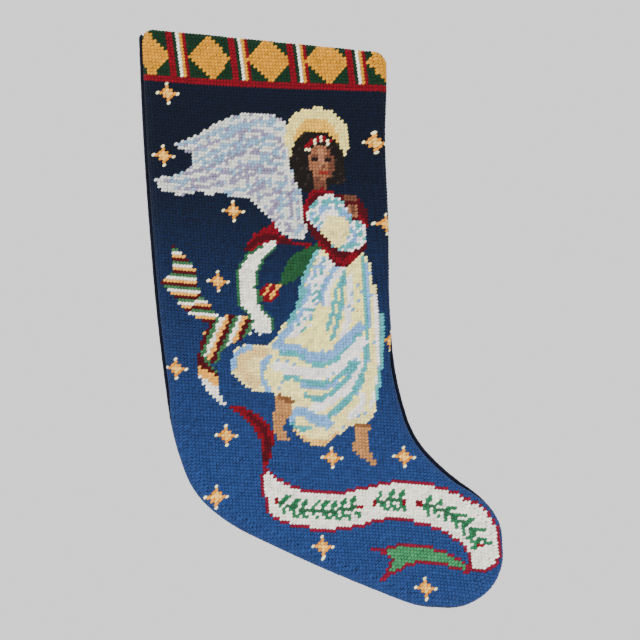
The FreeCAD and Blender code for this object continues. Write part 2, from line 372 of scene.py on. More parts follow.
ROBE = [(6.5, -22.5), (3.5, -17.5), (0.8, -12.5), (-0.3, -6), (-3, -1), (-6, 3), (-10, 8.7),
        (-17, 9.2), (-20.5, 11.5), (-22, 17.5), (-18.5, 22), (-14, 24.2), (-9, 24.5), (-7, 27),
        (-5, 33), (-3, 37), (1.5, 39.6), (6, 39.6), (10, 36), (14, 33), (19.5, 31.5), (22, 26),
        (23.6, 19), (25, 10), (24.6, 2), (24.4, -6), (23.3, -14), (21.5, -22.5), (14, -23)]
FOLDS = [
    ("robe_white", 1.6, [(10, -19), (6, -13), (3, -5), (-2, 4), (-7, 9)]),
    ("robe_aqua", 0.6, [(6, -22), (2.2, -13), (0.6, -5), (-4, 2)]),
    ("robe_blue", 0.9, [(8, -20), (4, -13), (2, -6), (-2.5, 2), (-8, 8.5)]),
    ("robe_aqua", 0.6, [(11.5, -17), (7.5, -11), (5.5, -5), (3.5, 1), (0, 4)]),
    ("robe_white", 1.0, [(14, -17.5), (9.5, -11), (8.3, -4), (6.5, 1)]),
    ("robe_blue", 0.7, [(13, -19), (8.5, -12), (7, -6)]),
    ("robe_aqua", 0.6, [(16, -18), (12, -11), (10.5, -4), (8.5, 2)]),
    ("robe_cream", 1.2, [(17.5, -20), (14.5, -10), (13.5, -2), (11, 4)]),
    ("robe_yellow", 2.2, [(7, -3), (4, 3), (2, 7), (-3, 8)]),
    ("robe_aqua", 0.7, [(14, -14), (13, -6), (11.5, 0), (9.8, 5)]),
    ("robe_white", 1.0, [(16.5, -15), (15.5, -6), (14, 2), (12, 7)]),
    ("robe_yellow", 0.9, [(18.8, -20), (18.2, -10), (18.3, 0), (17, 4)]),
    ("robe_aqua", 0.7, [(20.4, -21), (20.6, -12), (20.8, -2), (20.3, 5), (19.6, 12), (17.5, 20)]),
    ("robe_blue", 0.7, [(21.2, -19), (21.6, -8), (21.6, 0)]),
    ("robe_cream", 0.9, [(22.6, -14), (22.9, -4), (22.6, 8), (20.8, 16), (19, 22)]),
    ("robe_white", 0.6, [(23.6, -9), (23.8, 2), (23.6, 12), (22.4, 20), (20.5, 26)]),
    ("robe_aqua", 0.6, [(24.2, -10), (24.7, 2), (24.2, 12), (23, 20), (22, 24)]),
    ("robe_blue", 1.6, [(-7, 9.5), (-2, 9.3), (4, 11.8), (9, 11), (14, 6), (18.5, 1)]),
    ("robe_aqua", 0.8, [(-6.5, 11.3), (-1, 11.2), (3, 13.6), (8, 13.4), (12.5, 10), (18, 4)]),
    ("robe_white", 1.7, [(-8, 15.5), (-2, 16.5), (5, 17), (11, 14.5), (15, 10), (18.8, 5.5)]),
    ("robe_aqua", 0.8, [(-5.5, 19), (-3, 18.6), (0, 19.8), (8, 19.6), (12, 16.5), (15.5, 12.5)]),
    ("robe_blue", 0.7, [(-1, 21), (6, 21.4), (11, 19)]),
    ("robe_white", 1.5, [(17.5, 12), (16, 17), (12, 22), (7, 26), (2, 29)]),
    ("robe_aqua", 0.7, [(0, 24), (5, 25), (10, 21.5), (14, 17.5), (17, 12)]),
    ("robe_aqua", 0.8, [(18.5, 16), (15.5, 22), (11, 27), (6, 31), (1, 30.5)]),
    ("robe_blue", 2.2, [(-3.5, 31.5), (-1, 30.2), (3, 32), (6.5, 32.5)]),
    ("robe_cream", 1.4, [(-1.5, 32), (2, 34.5), (5, 35.5)]),
    ("robe_aqua", 0.7, [(-4.5, 33.5), (-1, 35), (1, 34.5)]),
    ("robe_white", 1.0, [(18, 23), (17, 27), (14, 30)]),
    ("hem_gold", 0.9, [(-4.5, 35), (-1, 38), (3, 39.3), (6.5, 38.8), (9.5, 36)]),
]
TRAIN = [(-6.5, 9.8), (-17, 9.4), (-20.6, 11.6), (-21.8, 17.5), (-18.5, 21.8), (-14, 24.1),
         (-9.5, 24.5), (-11.5, 20), (-11.8, 15.5), (-10, 12)]


def paint_robe(chart):
    robe = inside(smooth(ROBE, True, 4))
    chart.put(robe, "robe_yellow")
    chart.put(robe & (CV > 22) & (CV - 0.35 * CU > 21), "robe_cream")
    for name, reach, points in FOLDS:
        chart.line(points, reach, name, robe)
    fleck = np.random.default_rng(17).random(CU.shape)
    upper = robe & (CV < 2) & (CU < 9 - 0.25 * (CV + 20))
    chart.put(upper & (fleck < 0.16), "robe_aqua")
    chart.put(upper & (fleck > 0.80), "robe_white")
    chart.put(robe & near(smooth([(6, -22), (2, -14.5), (0.3, -7), (-2.5, -1)]), 1.0), "robe_aqua")
    chart.put(robe & (fleck > 0.97), "robe_blue")
    train = inside(smooth(TRAIN, True, 4)) & robe
    chart.put(train, "robe_cream")
    chart.line([(-12, 11), (-17, 12.5), (-19, 17), (-15, 21)], 1.7, "robe_sand", train)
    chart.line([(-16, 10), (-20, 12.5), (-21.5, 17.5)], 0.9, "robe_blue", robe)
    chart.line([(-10, 12.5), (-12, 15.5), (-12.5, 20), (-10.5, 24)], 0.9, "robe_blue", robe)
    chart.patch([(-8.3, 24.6), (-3.4, 25.8), (-4, 30.5), (-7, 34.5), (-5.2, 39.2),
                 (-9, 38.6), (-10.4, 33.5)], "foot")
    chart.line([(-8, 25), (-3.6, 26.4)], 0.7, "foot_dark")
    chart.patch([(15, 32), (19.8, 32), (18.9, 39.5), (21, 44), (20.2, 45.2), (14, 41),
                 (14.8, 36)], "foot")
    chart.line([(15.5, 32.6), (19.5, 32.6)], 0.7, "foot_dark")


def paint_bodice(chart):
    back = chart.blob([(3, -35), (5, -40), (9, -42.6), (15, -41), (20, -40.5), (22.8, -36),
                       (22.4, -30.5), (21.5, -24), (19, -21.5), (14, -17.8), (10, -21),
                       (5.5, -27), (3.5, -31)], "dark_red")
    chart.line([(8, -42), (4.5, -39), (3.6, -34)], 0.9, "red", back)
    chart.line([(7, -25), (12, -20.5), (15, -19.5), (18.5, -22.5)], 0.9, "red", back)
    chart.line([(20.5, -34), (22, -31.5)], 0.9, "red", back)
    chart.line([(9, -42.3), (12, -41.5)], 0.8, "red", back)
    sleeve = chart.blob([(4.2, -33), (6.5, -38), (10, -40.5), (14.5, -39.8), (17.3, -36),
                         (18.3, -33.5), (21.5, -32), (22.4, -29), (21.3, -25.5), (18.6, -23.8),
                         (15, -22.6), (11.5, -24.5), (8.8, -28), (7, -29)], "robe_white")
    fleck = np.random.default_rng(23).random(CU.shape)
    rings = np.hypot((CU - 12.5) / 1.05, (CV + 31.5) / 1.1)
    chart.put(sleeve & (rings > 6.2) & (rings < 7.4), "robe_aqua")
    chart.put(sleeve & (rings > 4.6) & (rings < 5.5), "robe_blue")
    chart.line([(7, -36), (11, -38.3), (14.5, -37)], 0.6, "robe_aqua", sleeve)
    chart.line([(5.5, -33), (8, -36.5), (11, -36)], 0.6, "robe_blue", sleeve)
    chart.line([(15, -35), (18.5, -31.5), (18.5, -27.5), (16, -24.5)], 0.8, "robe_blue", sleeve)
    chart.line([(20.5, -31), (20.8, -27), (18, -24.5)], 0.6, "robe_aqua", sleeve)
    chart.put(sleeve & (fleck < 0.2), "robe_aqua")
    chart.put(sleeve & (fleck > 0.78), "robe_white")
    cream = inside(smooth([(11, -34), (15, -34.2), (17, -31), (15.8, -26.5), (13.2, -23.9),
                           (10.2, -26), (8.2, -28.4), (9, -31.5)], True))
    chart.put(cream & sleeve, "robe_cream")
    chart.patch([(15.5, -41), (20, -41.5), (20.5, -39.5), (16.5, -39.3)], "skin_dark")
    hand = chart.patch([(17, -37.5), (19.5, -38), (20.4, -35), (20, -33.6), (17.4, -34.6)], "skin")
    chart.line([(18.2, -37.2), (18.8, -35)], 0.45, "skin_dark", hand)


def paint_head(chart):
    chart.blob([(0.2, -52), (-0.4, -60), (3.5, -65.5), (10, -67.6), (15.5, -66), (19, -61.5),
                (18.6, -55), (16.5, -53), (9, -58), (3, -55)], "halo")
    chart.blob([(2, -56.5), (4, -62), (9, -64.3), (14, -62.6), (16.4, -57), (14, -58.5),
                (9, -60), (4.5, -58.5)], "halo_gold")
    hair = chart.blob([(5, -59.4), (9.5, -59.9), (13.5, -59.2), (16, -55.8), (17.3, -51),
                       (16.8, -46), (15.5, -43.8), (12, -43.5), (10, -42.5), (5.5, -41),
                       (2.5, -42), (0.8, -46), (0.4, -51), (1.6, -55.5)], "hair")
    lock = np.random.default_rng(11).random(CU.shape)
    chart.put(hair & (lock > 0.86), "hair_light")
    chart.patch([(7.2, -47.5), (10.8, -47.5), (11.2, -43.6), (11.4, -41.8), (6.6, -41.2),
                 (7.2, -44)], "skin_dark")
    paint_face(chart)
    band = near(smooth([(5.6, -54.6), (7.5, -57), (10, -58), (12.8, -57.4)]), 0.75)
    chart.put(band, "red")
    for u, v in ((6, -54.5), (8.4, -57), (10.6, -57.9), (12.6, -57)):
        chart.put(np.hypot(CU - u, CV - v) < 0.62, "star_tip")


FACE_U, FACE_V = 10.0, -50.6
FACE_WIDE, FACE_HIGH = 3.9, 5.4


def paint_face(chart):
    """A plain oval face: eyes at half its height, nose at three quarters, mouth below."""
    du = (CU - FACE_U) / FACE_WIDE
    dv = (CV - FACE_V) / FACE_HIGH
    chart.put(du ** 2 + dv ** 2 < 1, "skin")
    chart.put((du ** 2 + dv ** 2 < 1) & (du > 0.62), "skin_dark")
    chart.put((np.abs(du - 0.05) < 0.2) & (dv > -0.75) & (dv < 0.35), "skin_light")
    for side in (-1, 1):
        eye_u = FACE_U + 0.2 + side * 1.9
        chart.put((np.abs(CU - eye_u) < 0.95) & (np.abs(CV - FACE_V + 0.4) < 0.5), "hair")
        chart.put((np.abs(CU - eye_u) < 1.0) & (np.abs(CV - FACE_V + 2.2) < 0.5), "skin_dark")
    chart.put((np.abs(CU - FACE_U - 0.2) < 0.6) & (np.abs(CV - FACE_V - 1.6) < 0.5), "skin_dark")
    chart.put((np.abs(CU - FACE_U - 0.2) < 1.4) & (np.abs(CV - FACE_V - 3.2) < 0.5), "lips")


def paint_all():
    chart = Chart()
    paint_stars(chart)
    paint_ribbons(chart)
    paint_striped_ribbon(chart)
    paint_wing(chart)
    paint_robe(chart)
    paint_banner(chart)
    paint_head(chart)
    paint_bodice(chart)
    paint_band(chart)
    return chart.grid


# ---- where cloth lies on the stocking ------------------------------------------------


def left_of(run):
    """The unit vector to the left of one run."""
    return np.array([-run[1], run[0]]) / np.hypot(*run)


def seam_curve(inset):
    """The outline's straight runs and tangent arcs, moved in by inset, as points."""
    spots = OUTLINE
    out = [spots[0] + left_of(spots[1] - spots[0]) * inset]
    for before, corner, after in zip(spots, spots[1:], spots[2:]):
        back = (before - corner) / np.hypot(*(before - corner))
        ahead = (after - corner) / np.hypot(*(after - corner))
        reach = 0.5 * min(np.hypot(*(before - corner)), np.hypot(*(after - corner)))
        half_turn = 0.5 * (math.pi - math.acos(float(back @ ahead)))
        radius = reach / math.tan(half_turn)
        middle = (back + ahead) / np.hypot(*(back + ahead))
        centre = corner + middle * radius / math.cos(half_turn)
        first = left_of(-back)
        sign = 1.0 if first @ middle > 0 else -1.0
        for t in np.linspace(-half_turn, half_turn, ARC_STEPS):
            aim = -middle * math.cos(t) + np.array([-middle[1], middle[0]]) * math.sin(t) * -sign
            out.append(centre + aim * (radius - sign * inset))
    out.append(spots[-1] + left_of(spots[-1] - spots[-2]) * inset)
    out = np.array(out)
    apart = np.hypot(*(out[1:] - out[:-1]).T) > 1e-6
    return out[np.concatenate([[True], apart])]


SEAM = seam_curve(0.0)
SEAM_RUN = SEAM[1:] - SEAM[:-1]
SEAM_LENGTH = np.hypot(SEAM_RUN[:, 0], SEAM_RUN[:, 1])
SEAM_UNIT = SEAM_RUN / SEAM_LENGTH[:, None]
SEAM_LEFT = np.column_stack([-SEAM_UNIT[:, 1], SEAM_UNIT[:, 0]])


def from_seam(x, z):
    """Distance inside the outline (negative outside) and the inward direction there."""
    depth = np.empty(len(x))
    inward = np.empty((len(x), 2))
    for low in range(0, len(x), AT_ONCE):
        part = slice(low, low + AT_ONCE)
        p = np.column_stack([x[part], z[part]])[:, None, :] - SEAM[None, :-1, :]
        t = np.clip((p * SEAM_UNIT).sum(2), 0, SEAM_LENGTH)
        off = p - t[:, :, None] * SEAM_UNIT
        far = np.hypot(off[:, :, 0], off[:, :, 1])
        k = far.argmin(1)
        rows = np.arange(len(k))
        near_off = off[rows, k]
        side = (near_off * SEAM_LEFT[k]).sum(1)
        distance = far[rows, k]
        smooth_way = near_off * np.sign(side)[:, None] / np.maximum(distance, 1e-9)[:, None]
        close = distance < 1e-4
        smooth_way[close] = SEAM_LEFT[k[close]]
        depth[part] = distance * np.sign(side)
        inward[part] = smooth_way
    return depth, inward


def ease(low, high, value):
    t = np.clip((value - low) / (high - low), 0, 1)
    return t * t * (3 - 2 * t)


def mouth_z(x):
    """The height of the mouth's edge, with its two soft corners."""
    left = OUTLINE[0][0] + MOUTH_LEFT_IN
    right = OUTLINE[-1][0] + MOUTH_RIGHT_OUT
    z = MOUTH_LEFT_Z - MOUTH_DROP * x
    a = np.clip(CORNER_HEEL - (x - left), 0, CORNER_HEEL)
    b = np.clip(CORNER_TOE - (right - x), 0, CORNER_TOE)
    z = z - (CORNER_HEEL - np.sqrt(CORNER_HEEL ** 2 - a ** 2))
    return z - (CORNER_TOE - np.sqrt(CORNER_TOE ** 2 - b ** 2))


def fold_rise(x, z):
    """How far a flat point of the front lies past the start of its fold at the mouth."""
    x = np.clip(x, OUTLINE[0][0] + 5 * MM, OUTLINE[-1][0])
    return z - (mouth_z(x) - FRONT.mouth_low - FRONT.fold)


def swell(x, z):
    """Slow shallow hollows, as in any soft stocking; never outwards."""
    wave = np.sin(31 * x + 9 * z + 0.7) + 0.8 * np.sin(23 * z - 14 * x)
    wave = wave + 0.5 * np.sin(58 * x - 41 * z + 2.0)
    return 0.2 * MM * wave - 0.5 * MM


SEAM_Y = 0.6 * MM
SHIN_COVER_Z = (-262 * MM, -232 * MM)
HEEL_COVER_Z = (-315 * MM, -275 * MM)
TOE_COVER_X = (225 * MM, 262 * MM)
CALM_BELOW_MOUTH = (-35 * MM, -12 * MM)


class Shell:
    """One half of the stocking's soft body: it takes flat cloth to its place in space."""

    def __init__(self, side, depth, rounding, inset, fold, seam_y=SEAM_Y, overhang=0.0,
                 mouth_low=0.0):
        self.side = side
        self.depth = depth
        self.rounding = rounding
        self.inset = inset
        self.fold = fold
        self.overhang = overhang
        self.mouth_low = mouth_low
        self.arc = rounding * math.pi / 2
        self.wall = depth - rounding - seam_y
        self.extra = self.arc + self.wall - rounding

    def cover(self, x, z, inward):
        """Where the front bulges out over the piping and hides it: 1 there, 0 elsewhere."""
        shin = ease(0.1, 0.5, -inward[:, 0]) * ease(*SHIN_COVER_Z, z)
        heel = ease(-0.2, 0.4, inward[:, 0]) * (1 - ease(*HEEL_COVER_Z, z))
        sole = 0.55 * ease(0.4, 0.8, inward[:, 1])
        toe = ease(*TOE_COVER_X, x)
        return np.clip(np.maximum.reduce([shin, 0.8 * heel, sole, toe]), 0, 1)

    def place(self, x, z, lift=0.0):
        """Points on the surface, lifted out of it by lift, for flat cloth points x, z."""
        d, inward = from_seam(x, z)
        past = self.inset + self.rounding - d
        beyond = np.clip(past, 0, self.arc)
        down = np.clip(past - self.arc, 0, None)
        angle = beyond / self.rounding
        shift = np.where(past > 0, self.rounding * np.sin(angle), 0)
        moved = np.where(past > 0, past, 0)
        base_x = x + inward[:, 0] * moved
        base_z = z + inward[:, 1] * moved
        total = np.clip(past / (self.arc + self.wall), 0, 1)
        bulge = self.overhang * np.sin(math.pi * total) ** 0.8
        bulge = bulge * self.cover(base_x, base_z, inward)
        px = base_x - inward[:, 0] * (shift + bulge)
        pz = base_z - inward[:, 1] * (shift + bulge)
        py = self.depth - self.rounding * (1 - np.cos(angle)) - down
        top = mouth_z(px) - self.mouth_low
        calm = 1 - ease(*CALM_BELOW_MOUTH, pz - top)
        py = py + swell(px, pz) * calm * np.cos(angle) ** 2
        nx = -inward[:, 0] * np.sin(angle)
        nz = -inward[:, 1] * np.sin(angle)
        ny = np.cos(angle)
        rise = pz - (top - self.fold)
        turn = np.clip(rise / self.fold, 0, math.pi)
        over = rise > 0
        back = np.clip(rise - math.pi * self.fold, 0, None)
        fold_z = top - self.fold + self.fold * np.sin(turn) - back
        fold_in = self.fold * (1 - np.cos(turn))
        pz = np.where(over, fold_z, pz)
        px = np.where(over, px - nx * fold_in, px)
        py = np.where(over, py - ny * fold_in, py)
        pz = np.where(over, pz - nz * fold_in, pz)
        tilt = np.where(over, np.cos(turn), 1.0)
        nx, ny, nz = nx * tilt, ny * tilt, nz * tilt
        nz = np.where(over, nz + np.sin(turn), nz)
        return np.column_stack([px + nx * lift, self.side * (py + ny * lift), pz + nz * lift])


FRONT = Shell(-1, 12.6 * MM, 7.5 * MM, PANEL_INSET, 1.9 * MM, overhang=3.4 * MM,
              mouth_low=2.6 * MM)
BACK = Shell(1, 9.0 * MM, 6.0 * MM, PANEL_INSET, 1.5 * MM)
# The linings lie inside the folded-in tops: side, depth, rounding, inset, fold, seam.
FRONT_LINING = Shell(-1, 8.55 * MM, 4.0 * MM, 9.0 * MM, 0.35 * MM, 0.0)
BACK_LINING = Shell(1, 5.7 * MM, 2.6 * MM, 8.2 * MM, 0.35 * MM, 0.0)


# The stitching has pulled the canvas askew. Lengths are for 50 stitches across and 90 down
# from the chart's middle, in mm; the last ones are the small unevenness far from the middle.
CHART_X, CHART_Z = 113.1, -226.2
ACROSS, DOWN = 127.75, 220.6
ROWS_FALL, COLUMNS_LEAN = 9.05, 11.9
TWIST_X, BOW_X, SPREAD_X, HOOK_X = 1.2, 1.4, 2.8, 6.4
TWIST_Z, SAG_Z, LIFT_Z, STRETCH_Z, DROOP_Z = 0.45, 3.1, 6.0, 5.9, 1.3


def lattice(u, v):
    """Flat cloth position of chart point (u, v)."""
    a = u / 50
    b = v / 90
    x = CHART_X + ACROSS * a + COLUMNS_LEAN * b + TWIST_X * a * b
    x = x - BOW_X * b ** 2 + SPREAD_X * a ** 3 + HOOK_X * b ** 3
    z = CHART_Z - ROWS_FALL * a - DOWN * b - TWIST_Z * a * b - SAG_Z * a ** 2 * b
    z = z + LIFT_Z * a * b ** 2 - STRETCH_Z * b ** 3 - DROOP_Z * a ** 3
    return x * MM, z * MM


# ---- mesh helpers ---------------------------------------------------------------------


def link_in(name, data):
    """A new object that holds the data, put in the scene."""
    thing = bpy.data.objects.new(name, data)
    bpy.context.scene.collection.objects.link(thing)
    return thing


def add_mesh(name, points, faces, material, shade=True):
    mesh = bpy.data.meshes.new(name)
    mesh.from_pydata([tuple(p) for p in points], [], [tuple(f) for f in faces])
    mesh.materials.append(material)
    if shade:
        mesh.shade_smooth()
    return link_in(name, mesh)


def fast_mesh(name, points, quads, material):
    """A mesh from numpy arrays, all quads."""
    mesh = bpy.data.meshes.new(name)
    mesh.vertices.add(len(points))
    mesh.vertices.foreach_set("co", points.astype(np.float32).ravel())
    mesh.loops.add(quads.size)
    mesh.loops.foreach_set("vertex_index", quads.astype(np.int32).ravel())
    mesh.polygons.add(len(quads))
    mesh.polygons.foreach_set("loop_start", np.arange(len(quads), dtype=np.int32) * 4)
    mesh.update(calc_edges=True)
    mesh.validate()
    mesh.shade_smooth()
    mesh.materials.append(material)
    return link_in(name, mesh)


YARN_COLOUR = "yarn"


def colour_points(piece, colours):
    layer = piece.data.color_attributes.new(YARN_COLOUR, "FLOAT_COLOR", "POINT")
    rgba = np.ones((len(colours), 4), np.float32)
    rgba[:, :3] = colours
    layer.data.foreach_set("color", rgba.ravel())


# ---- materials ------------------------------------------------------------------------


def node_material(name):
    material = bpy.data.materials.new(name)
    material.use_nodes = True
    nodes = material.node_tree.nodes
    return material, nodes, material.node_tree.links, nodes["Principled BSDF"]


def carried(nodes):
    """The colour that the mesh's own points carry."""
    node = nodes.new("ShaderNodeAttribute")
    node.attribute_name = YARN_COLOUR
    return node.outputs["Color"]


def plain(nodes, base):
    """One colour for the whole surface."""
    node = nodes.new("ShaderNodeRGB")
    node.outputs[0].default_value = (*base, 1)
    return node.outputs[0]


def coordinates(nodes, links, scale, turn=(0, 0, 0)):
    place = nodes.new("ShaderNodeTexCoord")
    mapping = nodes.new("ShaderNodeMapping")
    mapping.inputs["Scale"].default_value = scale
    mapping.inputs["Rotation"].default_value = turn
    links.new(place.outputs["Object"], mapping.inputs["Vector"])
    return mapping.outputs["Vector"]


def noise(nodes, links, vector, scale, detail=3.0, rough=0.6):
    node = nodes.new("ShaderNodeTexNoise")
    node.inputs["Scale"].default_value = scale
    node.inputs["Detail"].default_value = detail
    node.inputs["Roughness"].default_value = rough
    links.new(vector, node.inputs["Vector"])
    return node.outputs["Fac"]


def spread(nodes, links, value, low, high):
    """A noise value's usual range turned into low to high."""
    node = nodes.new("ShaderNodeMapRange")
    node.inputs["From Min"].default_value = 0.25
    node.inputs["From Max"].default_value = 0.75
    node.inputs["To Min"].default_value = low
    node.inputs["To Max"].default_value = high
    links.new(value, node.inputs["Value"])
    return node.outputs["Result"]


def times(nodes, links, colour, factor):
    node = nodes.new("ShaderNodeVectorMath")
    node.operation = "SCALE"
    links.new(colour, node.inputs[0])
    links.new(factor, node.inputs["Scale"])
    return node.outputs["Vector"]


def bump(nodes, links, height, strength, distance, shader):
    node = nodes.new("ShaderNodeBump")
    node.inputs["Strength"].default_value = strength
    node.inputs["Distance"].default_value = distance
    links.new(height, node.inputs["Height"])
    links.new(node.outputs["Normal"], shader.inputs["Normal"])


FIBRE_SLANT = math.radians(-48)


def wool_material():
    """Tapestry wool: each stitch has its own colour, with fine fibres along its slant."""
    material, nodes, links, shader = node_material("wool")
    fibres = coordinates(nodes, links, (500, 3000, 3000), (0, FIBRE_SLANT, 0))
    fine = noise(nodes, links, fibres, 1.0, 4.0, 0.7)
    fluff = noise(nodes, links, coordinates(nodes, links, (1, 1, 1)), 900, 5.0, 0.7)
    shade = spread(nodes, links, fine, 0.78, 1.16)
    links.new(times(nodes, links, carried(nodes), shade), shader.inputs["Base Color"])
    mix = nodes.new("ShaderNodeMath")
    mix.operation = "ADD"
    links.new(fine, mix.inputs[0])
    links.new(fluff, mix.inputs[1])
    bump(nodes, links, mix.outputs["Value"], 0.5, 0.0003, shader)
    shader.inputs["Roughness"].default_value = 0.85
    shader.inputs["Specular IOR Level"].default_value = 0.12
    shader.inputs["Sheen Weight"].default_value = 0.06
    shader.inputs["Sheen Roughness"].default_value = 0.5
    return material


def velvet_material(name, base):
    """Short dark pile that brightens where it turns away, with crushed patches."""
    material, nodes, links, shader = node_material(name)
    patches = noise(nodes, links, coordinates(nodes, links, (1, 1, 0.5)), 38, 4.0, 0.6)
    pile = noise(nodes, links, coordinates(nodes, links, (1, 1, 1)), 2600, 2.0, 0.8)
    shade = spread(nodes, links, patches, 0.75, 1.35)
    links.new(times(nodes, links, plain(nodes, base), shade), shader.inputs["Base Color"])
    bump(nodes, links, pile, 0.6, 0.0003, shader)
    shader.inputs["Roughness"].default_value = 0.9
    shader.inputs["Specular IOR Level"].default_value = 0.15
    shader.inputs["Sheen Weight"].default_value = 0.28
    shader.inputs["Sheen Roughness"].default_value = 0.35
    shader.inputs["Sheen Tint"].default_value = (0.3, 0.36, 0.7, 1)
    return material


def weave_material(name, base, thread, contrast, rough=0.8, sheen=0.1, height=0.0002):
    """Plain-woven cloth: two sets of threads, with painted shade that darkens the dips between
    them. With no base its points carry the colour.
    """
    material, nodes, links, shader = node_material(name)
    turns = 1 / thread
    place = nodes.new("ShaderNodeTexCoord")
    parts = nodes.new("ShaderNodeSeparateXYZ")
    links.new(place.outputs["Object"], parts.inputs["Vector"])
    waves = []
    for axis in ("X", "Z"):
        scale = nodes.new("ShaderNodeMath")
        scale.operation = "MULTIPLY"
        scale.inputs[1].default_value = turns * 2 * math.pi
        links.new(parts.outputs[axis], scale.inputs[0])
        wave = nodes.new("ShaderNodeMath")
        wave.operation = "SINE"
        links.new(scale.outputs["Value"], wave.inputs[0])
        waves.append(wave.outputs["Value"])
    cross = nodes.new("ShaderNodeMath")
    cross.operation = "MULTIPLY"
    links.new(waves[0], cross.inputs[0])
    links.new(waves[1], cross.inputs[1])
    # Painted shade: the colour follows the weave's relief, darker where the threads dip and lighter
    # where they rise.
    dip_shade = nodes.new("ShaderNodeMapRange")
    dip_shade.inputs["From Min"].default_value = -1
    dip_shade.inputs["From Max"].default_value = 1
    dip_shade.inputs["To Min"].default_value = 1 - contrast
    dip_shade.inputs["To Max"].default_value = 1 + contrast
    links.new(cross.outputs["Value"], dip_shade.inputs["Value"])
    mottle = noise(nodes, links, coordinates(nodes, links, (1, 1, 1)), 60, 4.0)
    shade = nodes.new("ShaderNodeMath")
    shade.operation = "MULTIPLY"
    links.new(dip_shade.outputs["Result"], shade.inputs[0])
    links.new(spread(nodes, links, mottle, 0.9, 1.1), shade.inputs[1])
    colour = carried(nodes) if base is None else plain(nodes, base)
    tinted = times(nodes, links, colour, shade.outputs["Value"])
    links.new(tinted, shader.inputs["Base Color"])
    bump(nodes, links, cross.outputs["Value"], 0.6, height, shader)
    shader.inputs["Roughness"].default_value = rough
    shader.inputs["Sheen Weight"].default_value = sheen
    return material


def thread_material(name, base):
    material, nodes, links, shader = node_material(name)
    twist = noise(nodes, links, coordinates(nodes, links, (1, 1, 1)), 2500, 3.0)
    shade = spread(nodes, links, twist, 0.7, 1.3)
    links.new(times(nodes, links, plain(nodes, base), shade), shader.inputs["Base Color"])
    bump(nodes, links, twist, 0.5, 0.0001, shader)
    shader.inputs["Roughness"].default_value = 0.55
    return material


WOOL = wool_material()
VELVET = velvet_material("velvet", (0.002, 0.0028, 0.009))
CANVAS = weave_material("canvas", None, 2.54 * MM, 0.3, 0.85, 0.0, 0.0006)
LINING = weave_material("lining", srgb(34, 58, 120), 0.5 * MM, 0.12, 0.38, 0.3, 0.00005)
FLEECE = weave_material("interlining", srgb(238, 234, 222), 0.8 * MM, 0.1)
CORD = weave_material("piping_cord", srgb(232, 226, 205), 1.2 * MM, 0.25)
THREAD = thread_material("thread", srgb(36, 48, 96))

# ---- the wool stitches -----------------------------------------------------------------

# Across one stitch (sideways, out) and along it (reach, size, height), in cell widths.
SECTION = [(0.40, -0.16), (0.45, 0.10), (0.27, 0.36), (-0.27, 0.36), (-0.45, 0.10), (-0.40, -0.16)]
ALONG = [(-0.76, 0.55, -0.18), (-0.56, 0.92, -0.02), (-0.20, 1.08, 0.09),
         (0.20, 1.08, 0.09), (0.56, 0.92, -0.02), (0.76, 0.55, -0.18)]


STITCH_FULLNESS = 0.86


def stitch_shape():
    """One slanted stitch in a cell one unit wide: points (across, up, out) and quads."""
    slant = np.array([1.0, 1.0]) / math.sqrt(2)
    across = np.array([1.0, -1.0]) / math.sqrt(2)
    points = []
    for reach, size, height in ALONG:
        for a, h in SECTION:
            spot = slant * reach + across * a * size * STITCH_FULLNESS
            points.append((spot[0], spot[1], height + h * size))
    quads = []
    ring = len(SECTION)
    for i in range(len(ALONG) - 1):
        for j in range(ring):
            k = (j + 1) % ring
            quads.append((i * ring + j, i * ring + k, (i + 1) * ring + k, (i + 1) * ring + j))
    for start, order in ((0, (0, 5, 4, 1)), (0, (1, 4, 3, 2)),
                         ((len(ALONG) - 1) * ring, (0, 1, 4, 5)),
                         ((len(ALONG) - 1) * ring, (1, 2, 3, 4))):
        quads.append(tuple(start + o for o in order))
    return np.array(points), np.array(quads)


BARE_EDGE = 0.6 * MM
WORKED_OVER = 3.3 * FRONT.fold
STITCH_THICK = 2.5 * MM
GROUND_TOP = BAND_FOOT + RED_ROWS
WOOL_PIECES = (("wool_border_stitches", V_LOW, GROUND_TOP),
               ("wool_ground_upper", GROUND_TOP, -36),
               ("wool_ground_middle", -36, 4), ("wool_ground_lower", 4, 46),
               ("wool_ground_foot", 46, V_HIGH))


def worked_cells():
    """The cells of the chart that are stitched: columns, rows and which they are."""
    u, v = CU.ravel(), CV.ravel()
    x, z = lattice(u, v)
    d, _ = from_seam(x, z)
    keep = (d > PANEL_INSET - FRONT.extra + BARE_EDGE) & (fold_rise(x, z) < WORKED_OVER)
    return u[keep], v[keep], keep


def ground_painted_shade(v):
    """Painted light and shade: the ground's blue is darkened towards the band and brightened
    towards the foot, as light falls stronger there, running from navy at the band to royal blue at
    the foot.
    """
    return 0.1 + 0.9 * ease(-60, 60, v) ** 1.2


